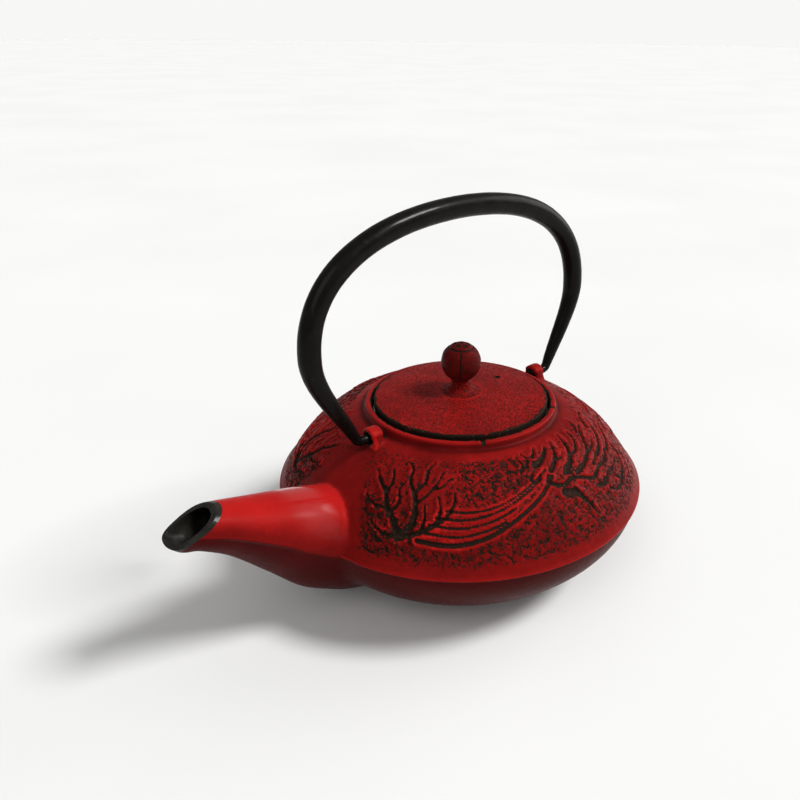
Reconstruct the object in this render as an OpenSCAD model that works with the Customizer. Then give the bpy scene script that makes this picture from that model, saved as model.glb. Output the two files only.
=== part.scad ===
// Cast iron teapot with a bail handle, a lift-off lid and a lift-out infuser basket.
// Millimetres. The origin is the centre of the foot ring on the resting plane, +Z is up
// and the spout points along -X. The bail turns about an axis parallel to X.

/* [Vessel] */
// Radius of the ridge, the widest line of the vessel
ridge_r = 83; // [81:0.5:85]
// Height of the ridge above the resting plane
ridge_z = 38.4; // [37.5:0.1:39]
// Thickness of the cast wall
wall = 3.6; // [3:0.1:4]
// Outer radius of the foot ring
foot_r = 46; // [44:0.5:48]
// Height of the foot ring
foot_h = 3; // [2.5:0.1:4]
// Outer radius of the collar around the lid
collar_r = 42.4; // [42:0.1:43]
// Height of the collar's top edge
collar_z = 75.1; // [74.6:0.1:76]

/* [Spout] */
// Wall thickness of the spout at its root
spout_wall = 3.2; // [2.6:0.1:3.6]
// Wall thickness of the spout at its mouth
lip_wall = 1.4; // [1.2:0.1:2.2]
// Downward slope of the mouth's oblique cut
mouth_slope = 23; // [19:1:27]

/* [Bail] */
// Radius of the bail's rod along the arch
rod_r = 4.46; // [4:0.1:5]
// Radius of the hooks that pass through the lugs
hook_r = 1.95; // [1.7:0.05:2]
// Radius of the holes in the lugs
lug_hole_r = 2.3; // [2.3:0.05:2.6]
// Height of the bail's turning axis
pivot_z = 72.8; // [72.5:0.1:73.2]
// Lean of the standing bail towards +Y, in degrees
bail_lean = 2; // [0:0.5:4]

/* [Lid] */
// Radius of the lid
lid_r = 38.6; // [38:0.1:38.8]
// Radius of the round knob
knob_r = 8.86; // [8:0.1:10]
// Height of the knob's centre
knob_z = 92.3; // [91:0.1:94]
// Radius of the steam vent
vent_r = 1; // [0.8:0.1:1.5]

/* [Infuser] */
// Outer radius of the basket's mesh
mesh_r = 33.6; // [32:0.1:34]
// Thickness of the mesh
mesh_t = 0.5; // [0.4:0.1:0.8]
// Height of the basket's underside
basket_z = 28; // [28:1:36]

/* [Hidden] */
$fn = 96;
cut = 1;            // how far a cutting shape passes the face that it opens

// Vessel
ledge_z = 70.9;     // seat of the infuser's flange, inside the collar
ledge_t = 3;
collar_in_r = 39.7;
opening_r = 35.6;
bowl_curve = [[foot_r, foot_h], [53.4, foot_h], [80.2, 15.9], [ridge_r - 1, ridge_z - 1.4]];
dome_curve = [[ridge_r - 0.6, ridge_z + 1], [75.5, 48.9], [67, 65.7], [collar_r + 1.6, 71.7]];
foot_w = 4.8;
foot_flare = 0.8;   // how much wider the foot is at its root, on each side

// Lugs
lug_x = 45.8;       // inner face of a lug
lug_t = 5.8;
lug_r = 4.4;
lug_top_z = 77;     // top of a lug
lug_base_w = 13;
lug_base_z = 68;

// Spout stations: x, top, underside, half width, height of the parting line
spout_stations = [
    [-48, 50, 9, 21, 24],
    [-60, 53.3, 5.4, 22.4, 25.6],
    [-71, 57.2, 6.8, 20.6, 31.9],
    [-81, 60.7, 12, 18.7, 38],
    [-91, 63.4, 19, 16.6, 44.1],
    [-103, 66.4, 32.4, 13.8, 52.2],
    [-117, 70.3, 47.4, 10.7, 60],
    [-128, 73, 55.7, 8.1, 64.5],
    [-134.4, 74.3, 58.2, 7.5, 66.5],
    [-139.4, 75, 63.1, 7.4, 68.3]
];
spout_steps = 2;    // rings between two stations
spout_sides = 32;
mouth_top = [-119.7, 70.2];
mouth_box = 40;     // side of the block that cuts the mouth

// Bail centreline, seen along Y: the arch, one arm and the bend into the hook
arch_curve = [[0, 157.5], [45.3, 157.5], [74, 142], [74, 112.2]];
arm_curve = [[74, 112.2], [74, 101], [65, 90], [57.5, 75.2]];
bend_curve = [[57.5, 75.2], [56.4, pivot_z], [55, pivot_z], [52.6, pivot_z]];
bend_r = 2.2;       // rod radius where the arm meets the bend
hook_tip_x = 45.5;
rod_sides = 16;

// Lid
lid_seat_z = 71.5;  // underside of the lid's rim, on the flange
lid_edge_z = 76.6;
lid_top_z = 78.8;
lid_under_z = 74.4;
rim_in_r = 34.6;
skirt_r = 32.4;
skirt_t = 2.4;
skirt_z = 64;
vent_x = 23;

// Knob and its fastening
neck_r = 4.4;
shank_r = 2;
shank_gap = 0.05;   // radial play of the shank in the lid, the washer and the knob
washer_r = 6;
washer_t = 1;
head_r = 4.2;
head_h = 2.2;
bore_top_z = knob_z - 3;

// Infuser
flange_r = 39.2;
flange_t = lid_seat_z - ledge_z;
neck_t = 0.8;
neck_low_z = 64;
wall_top_z = 69;
band_t = 0.6;
band_top_z = basket_z + 5;
lip_in_r = 30.5;

function bez_at(p, t) = pow(1 - t, 3) * p[0] + 3 * pow(1 - t, 2) * t * p[1]
    + 3 * (1 - t) * t * t * p[2] + t * t * t * p[3];
function bez(p, n) = [for (i = [0:n]) bez_at(p, i / n)];

// Direction of a path at its point i
function heading(p, i) = let(
    d = p[min(i + 1, len(p) - 1)] - p[max(i - 1, 0)]
) d / norm(d);
// A path moved to its left by d
function inset(p, d) = [for (i = [0:len(p) - 1]) let(h = heading(p, i)) p[i] + d * [-h[1], h[0]]];

// Catmull-Rom interpolation between rows b and c of a station table
function blend(a, b, c, d, t) = 0.5 * ((2 * b) + (c - a) * t + (2 * a - 5 * b + 4 * c - d) * t * t
    + (3 * b - a - 3 * c + d) * t * t * t);
function smooth_rows(rows, steps) = let(last = len(rows) - 1) [
    for (i = [0:last * steps]) let(
        k = min(floor(i / steps), last - 1),
        t = i / steps - k
    ) blend(rows[max(k - 1, 0)], rows[k], rows[k + 1], rows[min(k + 2, last)], t)
];

// Closed skin through a list of rings that have equal numbers of points
module skin(rings) {
    sides = len(rings[0]);
    count = len(rings);
    points = [for (ring = rings) for (p = ring) p];
    walls = [
        for (i = [0:count - 2]) for (j = [0:sides - 1]) let(
            a = i * sides + j,
            b = i * sides + (j + 1) % sides
        ) each [[a, b, b + sides], [a, b + sides, a + sides]]
    ];
    start_cap = [for (j = [sides - 1:-1:0]) j];
    end_cap = [for (j = [0:sides - 1]) (count - 1) * sides + j];
    polyhedron(points, concat(walls, [start_cap, end_cap]));
}

// Spout ring at one station, inset by t: half an ellipse above the parting line, half below
function spout_ring(s, t) = [
    for (j = [0:spout_sides - 1]) let(
        a = 360 * j / spout_sides,
        rise = a < 180 ? s[1] - t - s[4] : s[4] - s[2] - t
    ) [s[0], (s[3] - t) * cos(a), s[4] + rise * sin(a)]
];
function spout_wall_at(x) = let(
    root_x = spout_stations[0][0],
    tip_x = spout_stations[len(spout_stations) - 1][0]
) spout_wall + (x - root_x) / (tip_x - root_x) * (lip_wall - spout_wall);

// What the vessel and the spout fill, before they are hollowed
module vessel_outside() {
    rotate_extrude() polygon(concat(
        [[0, foot_h]],
        bez(bowl_curve, 10),
        [[ridge_r, ridge_z - 0.8], [ridge_r + 0.1, ridge_z], [ridge_r - 0.1, ridge_z + 0.6]],
        bez(dome_curve, 12),
        [[collar_r + 0.6, 72.2], [collar_r + 0.1, 72.9], [collar_r, 73.7],
         [collar_r, collar_z - 0.6], [collar_r - 0.6, collar_z], [0, collar_z]]
    ));
}

module foot_ring() {
    root_z = foot_h + 0.4;
    rotate_extrude() polygon([
        [foot_r - foot_w, 0], [foot_r, 0],
        [foot_r + foot_flare, root_z], [foot_r - foot_w - foot_flare, root_z]
    ]);
}

module vessel_hollow() {
    rotate_extrude() polygon(concat(
        [[0, foot_h + wall]],
        inset(bez(bowl_curve, 10), wall),
        inset(bez(dome_curve, 12), wall),
        [[opening_r, ledge_z - ledge_t], [opening_r, ledge_z], [collar_in_r, ledge_z],
         [collar_in_r, collar_z + cut], [0, collar_z + cut]]
    ));
}

module spout_outside() {
    skin([for (s = smooth_rows(spout_stations, spout_steps)) spout_ring(s, 0)]);
}

module spout_hollow() {
    skin([for (s = smooth_rows(spout_stations, spout_steps)) spout_ring(s, spout_wall_at(s[0]))]);
}

module mouth_cut() {
    translate([mouth_top[0], 0, mouth_top[1]]) rotate([0, -mouth_slope, 0])
        translate([-mouth_box, -mouth_box / 2, 0]) cube([mouth_box + cut / 10, mouth_box, mouth_box]);
}

// One lug, standing on the +X side of the collar, with its hole along X
module lug_blank() {
    round_z = lug_top_z - lug_r;
    translate([lug_x, 0, 0]) rotate([90, 0, 90]) linear_extrude(lug_t) union() {
        translate([0, round_z]) circle(r = lug_r);
        polygon([
            [-lug_base_w / 2, lug_base_z], [lug_base_w / 2, lug_base_z],
            [lug_r * 0.98, round_z + lug_r * 0.2], [-lug_r * 0.98, round_z + lug_r * 0.2]
        ]);
    }
}

module lug_hole() {
    translate([lug_x - cut / 2, 0, pivot_z]) rotate([0, 90, 0])
        cylinder(r = lug_hole_r, h = lug_t + cut);
}

module both_sides() {
    children();
    mirror([1, 0, 0]) children();
}

module pot_body() {
    color("firebrick") difference() {
        union() {
            difference() {
                union() {
                    vessel_outside();
                    spout_outside();
                }
                spout_hollow();
                mouth_cut();
            }
            foot_ring();
            both_sides() lug_blank();
        }
        vessel_hollow();
        both_sides() lug_hole();
    }
}

module strainer_rim() {
    color("silver") rotate_extrude() polygon([
        [mesh_r, neck_low_z], [mesh_r + neck_t, neck_low_z], [mesh_r + neck_t, ledge_z],
        [flange_r, ledge_z], [flange_r, ledge_z + flange_t], [mesh_r, ledge_z + flange_t]
    ]);
}

module strainer_wall() {
    color("gainsboro") translate([0, 0, basket_z + band_t]) difference() {
        cylinder(r = mesh_r, h = wall_top_z - basket_z - band_t);
        translate([0, 0, -cut]) cylinder(r = mesh_r - mesh_t, h = wall_top_z);
    }
}

module strainer_floor() {
    color("gainsboro") translate([0, 0, basket_z + band_t])
        cylinder(r = mesh_r - mesh_t, h = mesh_t);
}

module strainer_band() {
    color("silver") rotate_extrude() polygon([
        [lip_in_r, basket_z], [mesh_r + band_t, basket_z], [mesh_r + band_t, band_top_z],
        [mesh_r, band_top_z], [mesh_r, basket_z + band_t], [lip_in_r, basket_z + band_t]
    ]);
}

module lid() {
    crown = [[0, lid_top_z], [15, lid_top_z], [30, lid_top_z - 0.9], [lid_r - 0.9, lid_edge_z]];
    color("firebrick") difference() {
        rotate_extrude() polygon(concat(
            [[0, lid_under_z], [skirt_r - skirt_t, lid_under_z], [skirt_r - skirt_t, skirt_z],
             [skirt_r, skirt_z], [skirt_r, lid_under_z], [rim_in_r, lid_under_z],
             [rim_in_r, lid_seat_z], [lid_r, lid_seat_z], [lid_r, lid_edge_z - 0.9]],
            [for (i = [8:-1:0]) bez_at(crown, i / 8)]
        ));
        translate([0, 0, lid_under_z - cut]) cylinder(r = shank_r + shank_gap, h = 2 * lid_edge_z);
        translate([vent_x, 0, lid_under_z - cut]) cylinder(r = vent_r, h = 10, $fn = 32);
    }
}

module lid_knob() {
    waist_z = knob_z - knob_r + 0.8;
    color("firebrick") difference() {
        union() {
            translate([0, 0, knob_z]) sphere(r = knob_r);
            rotate_extrude() polygon([
                [0, lid_top_z], [neck_r + 0.6, lid_top_z], [neck_r, lid_top_z + 1.2],
                [neck_r - 1, waist_z], [0, waist_z + 1]
            ]);
        }
        translate([0, 0, lid_top_z - cut])
            cylinder(r = shank_r + shank_gap, h = bore_top_z - lid_top_z + cut);
    }
}

module knob_rivet() {
    head_z = lid_under_z - washer_t;
    color("dimgray") union() {
        translate([0, 0, head_z - cut]) cylinder(r = shank_r, h = bore_top_z - head_z + cut);
        rotate_extrude() polygon([
            [0, head_z - head_h], [head_r * 0.5, head_z - head_h * 0.92],
            [head_r * 0.87, head_z - head_h * 0.6], [head_r, head_z], [0, head_z]
        ]);
    }
}

module knob_washer() {
    color("gray") translate([0, 0, lid_under_z - washer_t]) difference() {
        cylinder(r = washer_r, h = washer_t);
        translate([0, 0, -cut]) cylinder(r = shank_r + shank_gap, h = washer_t + 2 * cut);
    }
}

// Centreline of one half of the bail from the top of the arch to the hook, as x, z, radius
function half_bail() = let(
    arch = bez(arch_curve, 10),
    arm = bez(arm_curve, 8),
    bend = bez(bend_curve, 5)
) concat(
    [for (p = arch) [p[0], p[1], rod_r]],
    [for (i = [1:8]) [arm[i][0], arm[i][1], bend_r + (rod_r - bend_r) * pow(1 - i / 8, 0.7)]],
    [for (i = [1:5]) [bend[i][0], bend[i][1], bend_r + (hook_r + 0.05 - bend_r) * i / 5]]
);

function bail_path() = let(half = half_bail(), last = len(half) - 1) concat(
    [for (i = [last:-1:1]) [-half[i][0], half[i][1], half[i][2]]],
    half
);

function rod_rings(path) = let(flat = [for (p = path) [p[0], p[1]]]) [
    for (i = [0:len(path) - 1]) let(h = heading(flat, i)) [
        for (j = [0:rod_sides - 1]) let(
            a = 360 * j / rod_sides,
            across = path[i][2] * cos(a)
        ) [path[i][0] - h[1] * across, path[i][2] * sin(a), path[i][1] + h[0] * across]
    ]
];

module bail_handle() {
    color([0.07, 0.07, 0.07]) translate([0, 0, pivot_z]) rotate([-bail_lean, 0, 0])
        translate([0, 0, -pivot_z]) union() {
            skin(rod_rings(bail_path()));
            both_sides() translate([hook_tip_x, 0, pivot_z]) rotate([0, 90, 0])
                cylinder(r = hook_r, h = bend_curve[3][0] + 0.6 - hook_tip_x);
        }
}

pot_body();
strainer_rim();
strainer_wall();
strainer_floor();
strainer_band();
lid();
lid_knob();
knob_rivet();
knob_washer();
bail_handle();
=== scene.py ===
"""Cast iron teapot with a red painted body, a black bail, a lift-off lid and an infuser basket.

Shapes are worked out in millimetres and written to Blender in metres, in the CAD frame: the
origin is the centre of the foot ring, +Z is up, and the spout points along -X.
"""

import math

import bmesh
import bpy
import numpy as np
from mathutils import Matrix, Vector, kdtree, noise


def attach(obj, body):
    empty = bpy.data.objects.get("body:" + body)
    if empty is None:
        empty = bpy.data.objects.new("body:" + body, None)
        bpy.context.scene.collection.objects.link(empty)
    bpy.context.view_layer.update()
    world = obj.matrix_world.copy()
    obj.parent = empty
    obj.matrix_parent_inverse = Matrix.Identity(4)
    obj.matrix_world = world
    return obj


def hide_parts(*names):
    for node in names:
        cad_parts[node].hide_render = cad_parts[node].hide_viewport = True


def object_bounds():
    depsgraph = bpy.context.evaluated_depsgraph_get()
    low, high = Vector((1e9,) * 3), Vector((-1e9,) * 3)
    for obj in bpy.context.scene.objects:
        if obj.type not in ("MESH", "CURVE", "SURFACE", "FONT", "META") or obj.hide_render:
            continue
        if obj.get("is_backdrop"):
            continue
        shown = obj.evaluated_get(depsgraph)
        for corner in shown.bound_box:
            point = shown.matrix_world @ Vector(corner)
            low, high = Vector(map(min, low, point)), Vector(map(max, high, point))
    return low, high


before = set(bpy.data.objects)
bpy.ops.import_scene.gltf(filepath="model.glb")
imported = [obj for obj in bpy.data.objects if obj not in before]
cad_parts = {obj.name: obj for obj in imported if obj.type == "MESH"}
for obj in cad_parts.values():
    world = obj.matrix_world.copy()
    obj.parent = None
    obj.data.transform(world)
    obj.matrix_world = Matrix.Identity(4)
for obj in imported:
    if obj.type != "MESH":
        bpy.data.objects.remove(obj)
cad_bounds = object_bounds()

MM = 0.001

# Vessel, as the CAD has it
RIDGE_R, RIDGE_Z = 83.0, 38.4
FOOT_R, FOOT_H, FOOT_W = 46.0, 3.0, 4.8
COLLAR_R, COLLAR_Z, COLLAR_IN_R = 42.4, 75.1, 39.7
LEDGE_Z, LEDGE_T, OPENING_R = 70.9, 3.0, 35.6
WALL = 3.6
BOWL_CURVE = [(FOOT_R, FOOT_H), (53.4, FOOT_H), (80.2, 15.9), (RIDGE_R - 1, RIDGE_Z - 1.4)]
DOME_CURVE = [(RIDGE_R - 0.6, RIDGE_Z + 1), (75.5, 48.9), (67, 65.7), (COLLAR_R + 1.6, 71.7)]
DENSE, COARSE = 720, 120  # columns round the dome, and round the bowl and the inside

# Spout stations: x, top, underside, half width, height of the parting line
SPOUT = [
    (-48, 50, 9, 21, 24),
    (-60, 53.3, 5.4, 22.4, 25.6),
    (-71, 57.2, 6.8, 20.6, 31.9),
    (-81, 60.7, 12, 18.7, 38),
    (-91, 63.4, 19, 16.6, 44.1),
    (-103, 66.4, 32.4, 13.8, 52.2),
    (-117, 70.3, 47.4, 10.7, 60),
    (-128, 73, 55.7, 8.1, 64.5),
    (-134.4, 74.3, 58.2, 7.5, 66.5),
    (-139.4, 75, 63.1, 7.4, 68.3),
]
MOUTH_TOP, MOUTH_SLOPE = (-119.7, 70.2), math.radians(23)
SPOUT_WALL, LIP_WALL = 3.2, 1.4
CREASE = 0.85  # how far the underside steps in below the parting line
SPOUT_SIDES = 96

# Lugs and bail
PIVOT_Z = 72.8
LUG_X, LUG_T, LUG_R, LUG_HOLE_R, LUG_TOP_Z = 45.8, 5.8, 4.4, 2.3, 77.0


# ---- curves and numbers


def bez(p, n):
    """n + 1 points along a cubic Bezier curve."""
    t = np.linspace(0, 1, n + 1)[:, None]
    p = np.array(p, float)
    return (1 - t) ** 3 * p[0] + 3 * (1 - t) ** 2 * t * p[1] + 3 * (1 - t) * t**2 * p[2] + t**3 * p[3]


def circle(n):
    """n angles, evenly round a circle."""
    return np.arange(n) * 2 * math.pi / n


def spot(r, a, z):
    """The point at radius r, turn a and height z."""
    return (r * math.cos(a), r * math.sin(a), z)


def arc(cx, cz, r, a0, a1, n):
    a = np.radians(np.linspace(a0, a1, n + 1))
    return np.c_[cx + r * np.cos(a), cz + r * np.sin(a)]


def along(path):
    """Distance along a path at each of its points."""
    return np.r_[0, np.cumsum(np.linalg.norm(np.diff(path, axis=0), axis=1))]


def resample(path, step):
    """The same path with points about step apart."""
    path = np.array(path, float)
    s = along(path)
    at = np.linspace(0, s[-1], max(2, int(round(s[-1] / step)) + 1))
    return np.c_[tuple(np.interp(at, s, path[:, k]) for k in range(path.shape[1]))]


def headings(path):
    d = np.gradient(path, axis=0)
    return d / np.linalg.norm(d, axis=1)[:, None]


def inset(path, d):
    """A path moved to its left by d."""
    h = headings(path)
    return path + d * np.c_[-h[:, 1], h[:, 0]]


def smooth(x, low, high):
    """0 below low, 1 above high, and a soft step between."""
    t = np.clip((np.asarray(x, float) - low) / (high - low), 0, 1)
    return t * t * (3 - 2 * t)


def bell(x):
    """1 at 0, falling to almost 0 at 2 on either side."""
    return np.exp(-(x**2))


def spline(points, per_span):
    """A Catmull-Rom curve through points, which may have any number of columns."""
    p = np.array(points, float)
    p = np.vstack([2 * p[0] - p[1], p, 2 * p[-1] - p[-2]])
    out = []
    for a, b, c, d in zip(p[:-3], p[1:-2], p[2:-1], p[3:]):
        t = np.arange(per_span)[:, None] / per_span
        square, cube = 2 * a - 5 * b + 4 * c - d, 3 * b - a - 3 * c + d
        out.append(0.5 * (2 * b + (c - a) * t + square * t**2 + cube * t**3))
    return np.vstack(out + [p[-2:-1]])


def noises(points, scale, seed):
    """Gradient noise, about -1 to 1, with features about scale millimetres wide."""
    q = points / scale + seed
    return np.array([noise.noise(Vector(v)) for v in q])


DOME = bez(DOME_CURVE[::-1], 200)
DOME_HEADING = headings(DOME)


# ---- meshes


class Mesh:
    """Points in millimetres and faces, collected patch by patch."""

    def __init__(self):
        self.points, self.faces, self.count = [], [], 0

    def add(self, points):
        points = np.asarray(points, float)
        first = self.count
        self.points.append(points)
        self.count += len(points)
        return np.arange(first, first + len(points))

    def bridge(self, a, b):
        """Quads between two rings of equal length."""
        n = len(a)
        for i in range(n):
            j = (i + 1) % n
            self.faces.append((a[i], a[j], b[j], b[i]))

    def fan(self, dense, coarse):
        """Faces between a ring and one that has a whole number of times fewer points."""
        k = len(dense) // len(coarse)
        n = len(coarse)
        for i in range(n):
            here, there = coarse[i], coarse[(i + 1) % n]
            run = [dense[(i * k + m) % len(dense)] for m in range(k + 1)]
            half = k // 2
            for m in range(k):
                self.faces.append((run[m], run[m + 1], here if m < half else there))
            self.faces.append((run[half], there, here))

    def cap(self, ring, centre):
        c = self.add([centre])[0]
        n = len(ring)
        for i in range(n):
            self.faces.append((ring[i], ring[(i + 1) % n], c))

    def revolve(self, profile, columns):
        """Rings of a surface of revolution, joined to each other. Returns the rings."""
        a = circle(columns)
        rings = [self.add(np.c_[r * np.cos(a), r * np.sin(a), np.full(columns, z)]) for r, z in profile]
        for one, two in zip(rings[:-1], rings[1:]):
            self.bridge(one, two)
        return rings

    def skin(self, rings):
        ids = [self.add(r) for r in rings]
        for one, two in zip(ids[:-1], ids[1:]):
            self.bridge(one, two)
        return ids

    def object(self, name):
        me = bpy.data.meshes.new(name)
        faces = [tuple(int(i) for i in face) for face in self.faces]
        me.from_pydata((np.vstack(self.points) * MM).tolist(), [], faces)
        bm = bmesh.new()
        bm.from_mesh(me)
        bmesh.ops.recalc_face_normals(bm, faces=bm.faces)
        bm.to_mesh(me)
        bm.free()
        shade_smooth(me)
        return new_object(name, me)


def new_object(name, data):
    ob = bpy.data.objects.new(name, data)
    bpy.context.scene.collection.objects.link(ob)
    return ob


def shade_smooth(me):
    me.polygons.foreach_set("use_smooth", [True] * len(me.polygons))


def lathe(name, profile, columns):
    """A ring: a closed profile, given in parts, turned about the Z axis."""
    m = Mesh()
    rings = m.revolve(np.vstack(profile), columns)
    m.bridge(rings[-1], rings[0])
    return m.object(name)


def combine(ob, other, operation):
    """A boolean of two closed meshes; other is used up."""
    mod = ob.modifiers.new("combine", "BOOLEAN")
    mod.operation, mod.solver, mod.object = operation, "MANIFOLD", other
    bpy.context.view_layer.update()
    depsgraph = bpy.context.evaluated_depsgraph_get()
    made = bpy.data.meshes.new_from_object(ob.evaluated_get(depsgraph))
    old, name = ob.data, ob.data.name
    ob.modifiers.clear()
    ob.data = made
    bpy.data.meshes.remove(old)
    made.name = name
    bpy.data.objects.remove(other)


def coords(ob):
    co = np.empty(len(ob.data.vertices) * 3)
    ob.data.vertices.foreach_get("co", co)
    return co.reshape(-1, 3) / MM


def set_coords(ob, points):
    ob.data.vertices.foreach_set("co", (points * MM).ravel())
    ob.data.update()


def set_numbers(ob, **numbers):
    """Numbers from 0 to 1 at each point, which the materials read by name."""
    for name, values in numbers.items():
        attribute = ob.data.attributes.new(name, "FLOAT", "POINT")
        attribute.data.foreach_set("value", np.asarray(values, np.float32))


# ---- the vessel and its spout


def dome_profile():
    """From the collar's inner corner over its rim, down the dome and round the ridge."""
    return np.vstack([
        resample([(COLLAR_IN_R, LEDGE_Z), (COLLAR_IN_R, COLLAR_Z - 0.8)], 0.9)[:-1],
        arc(COLLAR_IN_R + 0.8, COLLAR_Z - 0.8, 0.8, 180, 90, 4),
        arc(COLLAR_R - 0.8, COLLAR_Z - 0.8, 0.8, 90, 0, 4),
        bez([(COLLAR_R, COLLAR_Z - 1.2), (COLLAR_R, 72.6), (COLLAR_R + 0.4, 72), DOME_CURVE[3]], 7)[:-1],
        resample(DOME, 0.68),
        [(RIDGE_R - 0.15, RIDGE_Z + 0.7), (RIDGE_R, RIDGE_Z + 0.3), (RIDGE_R, RIDGE_Z - 0.25),
         (RIDGE_R - 0.3, RIDGE_Z - 0.6), (RIDGE_R - 0.95, RIDGE_Z - 0.9)],
    ])


def bowl_profile():
    """From under the ridge down the bowl, round the foot ring and in to the middle."""
    inner = FOOT_R - FOOT_W
    return np.vstack([
        resample(bez(BOWL_CURVE[::-1], 200), 1.6)[:-1],
        [(FOOT_R + 1.2, FOOT_H + 0.02), (FOOT_R + 0.5, FOOT_H - 0.7)],
        [(FOOT_R, 0.5), (FOOT_R - 0.4, 0.05), (FOOT_R - 1, 0)],
        [(inner + 1, 0), (inner + 0.3, 0.2), (inner, 0.9), (inner - 0.4, FOOT_H - 0.1)],
        [(32, FOOT_H), (20, FOOT_H), (8, FOOT_H)],
    ])


def hollow_profile():
    """From the collar's inner corner across the ledge and round the inside to the middle."""
    dome = inset(bez(DOME_CURVE[::-1], 60), -WALL)
    bowl = inset(bez(BOWL_CURVE[::-1], 60), -WALL)
    return np.vstack([
        [(OPENING_R + 2, LEDGE_Z), (OPENING_R + 0.4, LEDGE_Z), (OPENING_R, LEDGE_Z - 0.4)],
        [(OPENING_R, LEDGE_Z - LEDGE_T + 0.5), (OPENING_R + 0.5, LEDGE_Z - LEDGE_T)],
        resample(dome[dome[:, 0] > OPENING_R + 3], 2.2),
        resample(bowl, 2.2),
        [(30, FOOT_H + WALL), (12, FOOT_H + WALL)],
    ])


def vessel():
    m = Mesh()
    outside = m.revolve(dome_profile(), DENSE)
    bowl = m.revolve(bowl_profile(), COARSE)
    m.fan(outside[-1], bowl[0])
    m.cap(bowl[-1], (0, 0, FOOT_H))
    inside = m.revolve(hollow_profile(), COARSE)
    m.fan(outside[0], inside[0])
    m.cap(inside[-1], (0, 0, FOOT_H + WALL))
    return m.object("pot_casting")


def cavity():
    """The vessel's inside as a solid, a hair smaller, for trimming the spout's root."""
    m = Mesh()
    profile = hollow_profile()[3:] - [0.02, 0]
    rings = m.revolve(profile, COARSE)
    m.cap(rings[0], (0, 0, profile[0][1]))
    m.cap(rings[-1], (0, 0, FOOT_H + WALL + 0.02))
    return m.object("cavity")


SPOUT_ROWS = spline(SPOUT, 16)


def spout_at(x):
    """Top, underside, half width and parting line of the spout at x, which may be an array."""
    return [np.interp(-np.asarray(x, float), -SPOUT_ROWS[:, 0], SPOUT_ROWS[:, k]) for k in range(1, 5)]


def spout_wall(x):
    share = (x - SPOUT[0][0]) / (SPOUT[-1][0] - SPOUT[0][0])
    return SPOUT_WALL + share * (LIP_WALL - SPOUT_WALL)


def spout_point(x, a, t):
    """A point of the spout's section at x: a is the turn from +Y over the top, t the inset."""
    top, under, half, parting = spout_at(x)
    c, s = np.cos(a), np.sin(a)
    upper = s >= 0
    creased = 1 - smooth(-x, 116, 128)
    n = np.where(upper, 2.0, 2.0 - 0.3 * creased)
    step_in = np.where(upper, 0, CREASE * creased * smooth(-s, 0.02, 0.1))
    y = np.sign(c) * np.abs(c) ** (2 / n) * (half - t - step_in)
    rise = np.where(upper, top - t - parting, parting - under - t)
    z = parting + np.sign(s) * np.abs(s) ** (2 / n) * rise
    return np.stack([x + 0 * a, y, z], axis=-1)


def mouth_z(x):
    """Height of the plane of the mouth at x."""
    return MOUTH_TOP[1] + (x - MOUTH_TOP[0]) * math.tan(MOUTH_SLOPE)


def mouth_x(a, t):
    """Where the line of the spout's side at turn a meets the plane of the mouth."""
    low, high = np.full(a.shape, SPOUT[-1][0]), np.full(a.shape, -112.0)
    for _ in range(40):
        x = (low + high) / 2
        p = spout_point(x, a, t(x))
        above = p[:, 2] > mouth_z(x)
        low, high = np.where(above, x, low), np.where(above, high, x)
    return (low + high) / 2


def spout_rings(t, count):
    """Rings from the root to the mouth, each a little more oblique than the last."""
    a = circle(SPOUT_SIDES)
    end = mouth_x(a, t)
    rings = []
    for w in np.linspace(0, 1, count):
        x = SPOUT[0][0] + (end - SPOUT[0][0]) * w
        rings.append(spout_point(x, a, t(x)))
    return rings


def spout_tube():
    """Outer skin, rounded lip and inner skin, closed at the root."""
    m = Mesh()
    outer = spout_rings(lambda x: 0 * x, 90)
    inner = spout_rings(spout_wall, 50)
    normal = np.array([-math.sin(MOUTH_SLOPE), 0, math.cos(MOUTH_SLOPE)])
    lip = []
    for turn in np.radians([20, 55, 90, 125, 160]):
        middle = (outer[-1] + inner[-1]) / 2
        across = (outer[-1] - inner[-1]) / 2
        lip.append(middle + across * math.cos(turn) + normal * math.sin(turn) * 0.35)
    ids = m.skin(outer + lip + inner[::-1])
    m.bridge(ids[-1], ids[0])
    return m.object("spout")


def channel():
    """The spout's inside as a solid, a hair smaller, for opening the vessel's wall."""
    m = Mesh()
    rings = spout_rings(lambda x: spout_wall(x) + 0.02, 50)
    ids = m.skin(rings)
    m.cap(ids[0], rings[0].mean(0))
    m.cap(ids[-1], rings[-1].mean(0))
    return m.object("channel")


def lug_outline(turn):
    """Distance from the hole's axis to the lug's outline, turn being measured from +Y."""
    c, s = math.cos(turn), math.sin(turn)
    middle = LUG_TOP_Z - LUG_R - PIVOT_Z  # the round top's centre, above the axis
    reach = middle * s + math.sqrt(LUG_R**2 - (middle * c) ** 2)
    if s > -0.1:
        return reach
    half_base, drop = 6.4, 5.4
    side = LUG_R / max(1e-6, abs(c) + (half_base - LUG_R) / drop * s)
    return max(reach, min(side, drop / -s, 8.4))


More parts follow.
